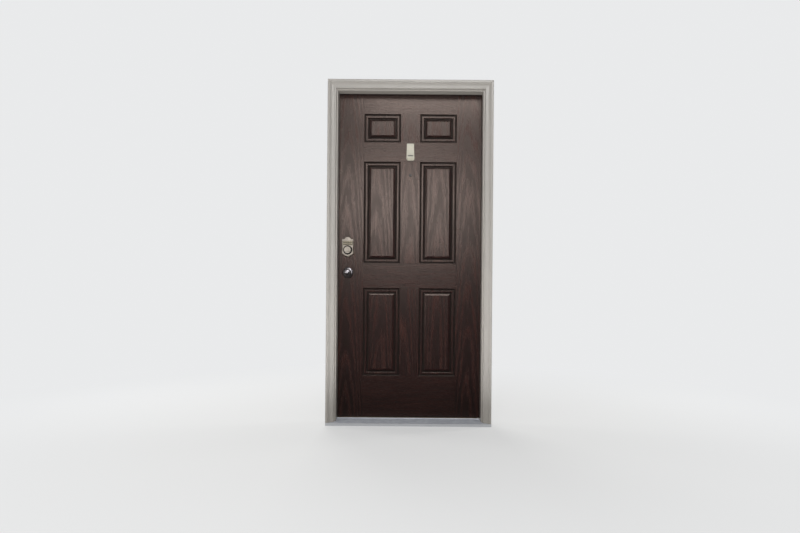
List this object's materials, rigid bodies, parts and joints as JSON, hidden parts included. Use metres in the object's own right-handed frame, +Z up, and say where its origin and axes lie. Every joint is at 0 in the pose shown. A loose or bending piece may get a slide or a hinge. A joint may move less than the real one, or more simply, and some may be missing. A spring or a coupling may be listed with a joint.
{
  "type": "panelled front door",
  "caption": "Inward-opening moulded panel entrance door in a painted frame with outside casing and metal sill, fitted with a keypad deadbolt, a round knob, a viewer and a hook.",
  "frame": {"origin": "middle of the sill's underside, in the plane of the jambs' outer edges", "axes": "+X to the right as seen from outside (the hinge side), +Y into the house, +Z up"},
  "size_m": [1.0062, 0.208, 2.1001],
  "materials": {
    "stained_skin": "satin",
    "stile_wood": "satin",
    "foam": "matte",
    "jamb_paint": "satin",
    "casing_paint": "satin",
    "sill_composite": "matte",
    "sill_aluminium": "satin",
    "sill_cap_wood": "satin",
    "seal_rubber": "matte",
    "sweep_vinyl": "matte",
    "pad_foam": "matte",
    "satin_nickel": "satin",
    "zinc_steel": "satin",
    "key_rubber": "satin",
    "hook_plastic": "satin",
    "viewer_brass": "satin"
  },
  "bodies": {
    "frame": {"hinge_jamb": "jamb_paint", "latch_jamb": "jamb_paint", "head_jamb": "jamb_paint", "hinge_side_casing": "casing_paint", "latch_side_casing": "casing_paint", "head_casing": "casing_paint", "sill_base": "sill_composite", "sill_deck": "sill_aluminium", "sill_cap": "sill_cap_wood", "hinge_side_seal": "seal_rubber", "latch_side_seal": "seal_rubber", "head_seal": "seal_rubber", "corner_pads": "pad_foam", "latch_strike": "satin_nickel", "deadbolt_strike": "satin_nickel", "frame_screws": "zinc_steel", "lower_jamb_hinge_leaf": "satin_nickel", "middle_jamb_hinge_leaf": "satin_nickel", "upper_jamb_hinge_leaf": "satin_nickel", "hinge_pins": "satin_nickel"},
    "door": {"outer_skin": "stained_skin", "inner_skin": "stained_skin", "hinge_stile": "stile_wood", "lock_stile": "stile_wood", "top_rail": "stile_wood", "bottom_rail": "stile_wood", "lock_block": "stile_wood", "foam_core": "foam", "door_sweep": "sweep_vinyl", "leaf_screws": "zinc_steel", "through_screws": "zinc_steel", "lower_door_hinge_leaf": "satin_nickel", "middle_door_hinge_leaf": "satin_nickel", "upper_door_hinge_leaf": "satin_nickel", "viewer_barrel": "viewer_brass", "viewer_sleeve": "viewer_brass", "wreath_hook": "hook_plastic", "outer_rose": "satin_nickel", "inner_rose": "satin_nickel", "latch_case": "satin_nickel", "deadbolt_case": "satin_nickel", "keypad_body": "satin_nickel", "battery_cover": "satin_nickel", "mounting_plate": "zinc_steel"},
    "outer_knob": {"outer_knob": "satin_nickel"},
    "inner_knob": {"inner_knob": "satin_nickel"},
    "latch_bolt": {"latch_bolt": "satin_nickel"},
    "outer_turn": {"outer_turn": "satin_nickel"},
    "inner_turn": {"inner_turn": "satin_nickel"},
    "deadbolt": {"deadbolt": "satin_nickel"},
    "key_1": {"key_1": "key_rubber"},
    "key_2": {"key_2": "key_rubber"},
    "key_3": {"key_3": "key_rubber"},
    "key_4": {"key_4": "key_rubber"},
    "key_5": {"key_5": "key_rubber"},
    "key_6": {"key_6": "key_rubber"},
    "key_7": {"key_7": "key_rubber"},
    "key_8": {"key_8": "key_rubber"},
    "key_9": {"key_9": "key_rubber"},
    "key_10": {"key_10": "key_rubber"}
  },
  "joints": [
    {"name": "door_swing", "type": "hinge", "parent": "frame", "child": "door", "pos_m": [0.4555, 0.1233, 1.0445], "axis": [0, 0, -1], "range_deg": [0, 110]},
    {"name": "outer_knob_turn", "type": "hinge", "parent": "door", "child": "outer_knob", "pos_m": [-0.384, 0.09375, 0.93], "axis": [0, 1, 0], "range_deg": [0, 60]},
    {"name": "inner_knob_turn", "type": "hinge", "parent": "door", "child": "inner_knob", "pos_m": [-0.384, 0.09375, 0.93], "axis": [0, 1, 0], "range_deg": [0, 60]},
    {"name": "latch_slide", "type": "slide", "parent": "door", "child": "latch_bolt", "axis": [-1, 0, 0], "range_m": [0, 0.0127]},
    {"name": "outer_turn_turn", "type": "hinge", "parent": "door", "child": "outer_turn", "pos_m": [-0.384, 0.09375, 1.071], "axis": [0, 1, 0], "range_deg": [0, 90]},
    {"name": "inner_turn_turn", "type": "hinge", "parent": "door", "child": "inner_turn", "pos_m": [-0.384, 0.09375, 1.071], "axis": [0, 1, 0], "range_deg": [0, 90]},
    {"name": "deadbolt_slide", "type": "slide", "parent": "door", "child": "deadbolt", "axis": [-1, 0, 0], "range_m": [0, 0.0254]},
    {"name": "key_1_press", "type": "slide", "parent": "door", "child": "key_1", "axis": [0, 1, 0], "range_m": [0, 0.0009], "stiffness_N_per_m": 500},
    {"name": "key_2_press", "type": "slide", "parent": "door", "child": "key_2", "axis": [0, 1, 0], "range_m": [0, 0.0009], "stiffness_N_per_m": 500},
    {"name": "key_3_press", "type": "slide", "parent": "door", "child": "key_3", "axis": [0, 1, 0], "range_m": [0, 0.0009], "stiffness_N_per_m": 500},
    {"name": "key_4_press", "type": "slide", "parent": "door", "child": "key_4", "axis": [0, 1, 0], "range_m": [0, 0.0009], "stiffness_N_per_m": 500},
    {"name": "key_5_press", "type": "slide", "parent": "door", "child": "key_5", "axis": [0, 1, 0], "range_m": [0, 0.0009], "stiffness_N_per_m": 500},
    {"name": "key_6_press", "type": "slide", "parent": "door", "child": "key_6", "axis": [0, 1, 0], "range_m": [0, 0.0009], "stiffness_N_per_m": 500},
    {"name": "key_7_press", "type": "slide", "parent": "door", "child": "key_7", "axis": [0, 1, 0], "range_m": [0, 0.0009], "stiffness_N_per_m": 500},
    {"name": "key_8_press", "type": "slide", "parent": "door", "child": "key_8", "axis": [0, 1, 0], "range_m": [0, 0.0009], "stiffness_N_per_m": 500},
    {"name": "key_9_press", "type": "slide", "parent": "door", "child": "key_9", "axis": [0, 1, 0], "range_m": [0, 0.0009], "stiffness_N_per_m": 500},
    {"name": "key_10_press", "type": "slide", "parent": "door", "child": "key_10", "axis": [0, 1, 0], "range_m": [0, 0.0009], "stiffness_N_per_m": 500}
  ],
  "couplings": [
    {"joint": "inner_knob_turn", "follows": "outer_knob_turn", "ratio": 1},
    {"joint": "latch_slide", "follows": "outer_knob_turn", "m_per_rad": 0.01212},
    {"joint": "inner_turn_turn", "follows": "outer_turn_turn", "ratio": 1},
    {"joint": "deadbolt_slide", "follows": "outer_turn_turn", "m_per_rad": 0.01616}
  ]
}
